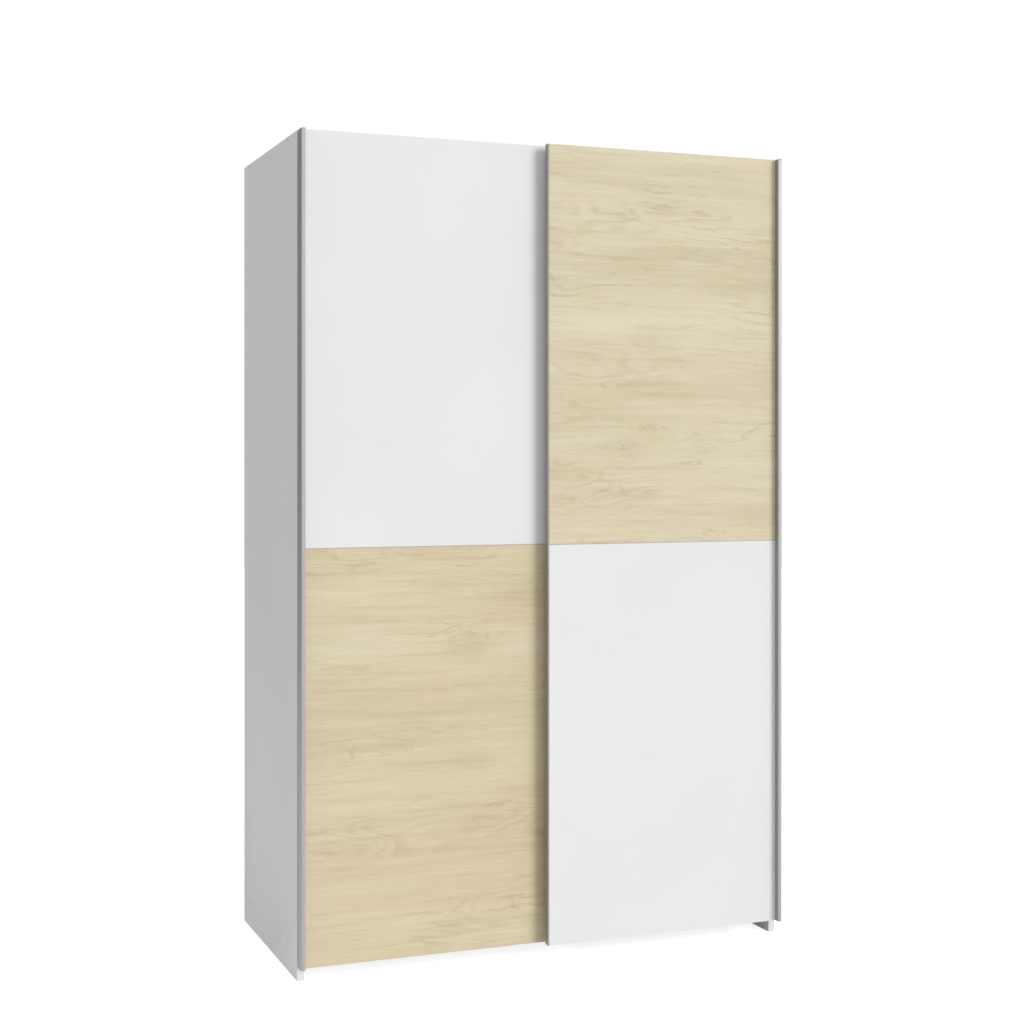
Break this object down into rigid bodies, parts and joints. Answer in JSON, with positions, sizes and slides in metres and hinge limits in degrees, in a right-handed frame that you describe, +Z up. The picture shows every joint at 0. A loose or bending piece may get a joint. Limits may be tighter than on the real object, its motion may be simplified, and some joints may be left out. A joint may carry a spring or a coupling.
{
  "type": "sliding door wardrobe",
  "caption": "Free-standing wardrobe with overlapping sliding doors in white and pale oak board, hung on rollers, over a hanging space and shelves.",
  "frame": {"origin": "on the floor under the middle of the wardrobe's box", "axes": "+Z up, doors face -Y, +X to the right seen from the front"},
  "size_m": [1.2, 0.612, 1.9071],
  "materials": {
    "white_board": "white melamine-faced board, satin",
    "oak_board": "pale oak-effect laminate, horizontal grain, satin",
    "grey_profile": "grey satin extrusion",
    "zinc_steel": "bright zinc plated",
    "grey_plastic": "grey moulded",
    "nylon": "natural nylon",
    "white_plastic": "white moulded",
    "chrome_tube": "polished",
    "beech": "raw beech"
  },
  "bodies": {
    "carcass": {"left_side_panel": "white_board", "right_side_panel": "white_board", "top_panel": "white_board", "bottom_panel": "white_board", "track_board": "white_board", "centre_divider": "white_board", "rear_plinth": "white_board", "back_panel_left": "white_board", "back_panel_right": "white_board", "back_joining_profile": "white_plastic", "hat_shelf": "white_board", "hanging_rail": "chrome_tube", "rail_supports": "zinc_steel", "shelf_1": "white_board", "shelf_2": "white_board", "shelf_3": "white_board", "shelf_4": "white_board", "shelf_pins": "zinc_steel", "carcass_screws": "zinc_steel", "screw_caps": "white_plastic", "dowels": "beech", "cam_locks": "zinc_steel", "cam_bolts": "zinc_steel", "back_nails": "zinc_steel", "top_track": "grey_profile", "bottom_guide_rail": "grey_plastic", "track_end_stops": "grey_plastic", "centre_foot": "grey_plastic", "wall_brackets": "zinc_steel", "fitting_screws": "zinc_steel"},
    "left_door": {"left_door_upper_panel": "white_board", "left_door_lower_panel": "oak_board", "left_door_grip": "grey_profile", "left_door_grip_screws": "zinc_steel", "left_door_inner_stile": "grey_profile", "left_door_joint_strip": "grey_profile", "left_door_hangers": "zinc_steel", "left_door_axles": "zinc_steel", "left_door_guides": "zinc_steel", "left_door_screws": "zinc_steel", "left_door_grip_caps": "grey_plastic"},
    "right_door": {"right_door_upper_panel": "oak_board", "right_door_lower_panel": "white_board", "right_door_grip": "grey_profile", "right_door_grip_screws": "zinc_steel", "right_door_inner_stile": "grey_profile", "right_door_joint_strip": "grey_profile", "right_door_hangers": "zinc_steel", "right_door_axles": "zinc_steel", "right_door_guides": "zinc_steel", "right_door_screws": "zinc_steel", "right_door_grip_caps": "grey_plastic"},
    "left_outer_roller": {"left_door_outer_roller": "nylon"},
    "left_inner_roller": {"left_door_inner_roller": "nylon"},
    "right_outer_roller": {"right_door_outer_roller": "nylon"},
    "right_inner_roller": {"right_door_inner_roller": "nylon"}
  },
  "joints": [
    {"name": "left_door_slide", "type": "slide", "parent": "carcass", "child": "left_door", "axis": [1, 0, 0], "range_m": [0, 0.565]},
    {"name": "right_door_slide", "type": "slide", "parent": "carcass", "child": "right_door", "axis": [-1, 0, 0], "range_m": [0, 0.565]},
    {"name": "left_outer_roller_turn", "type": "hinge", "parent": "left_door", "child": "left_outer_roller", "pos_m": [-0.5395, -0.217, 1.8868], "axis": [0, 1, 0], "continuous": true},
    {"name": "left_inner_roller_turn", "type": "hinge", "parent": "left_door", "child": "left_inner_roller", "pos_m": [-0.045, -0.217, 1.8868], "axis": [0, 1, 0], "continuous": true},
    {"name": "right_outer_roller_turn", "type": "hinge", "parent": "right_door", "child": "right_outer_roller", "pos_m": [0.5395, -0.189, 1.8868], "axis": [0, -1, 0], "continuous": true},
    {"name": "right_inner_roller_turn", "type": "hinge", "parent": "right_door", "child": "right_inner_roller", "pos_m": [0.045, -0.189, 1.8868], "axis": [0, -1, 0], "continuous": true}
  ],
  "couplings": [
    {"joint": "left_outer_roller_turn", "follows": "left_door_slide", "rad_per_m": 100},
    {"joint": "left_inner_roller_turn", "follows": "left_door_slide", "rad_per_m": 100},
    {"joint": "right_outer_roller_turn", "follows": "right_door_slide", "rad_per_m": 100},
    {"joint": "right_inner_roller_turn", "follows": "right_door_slide", "rad_per_m": 100}
  ]
}
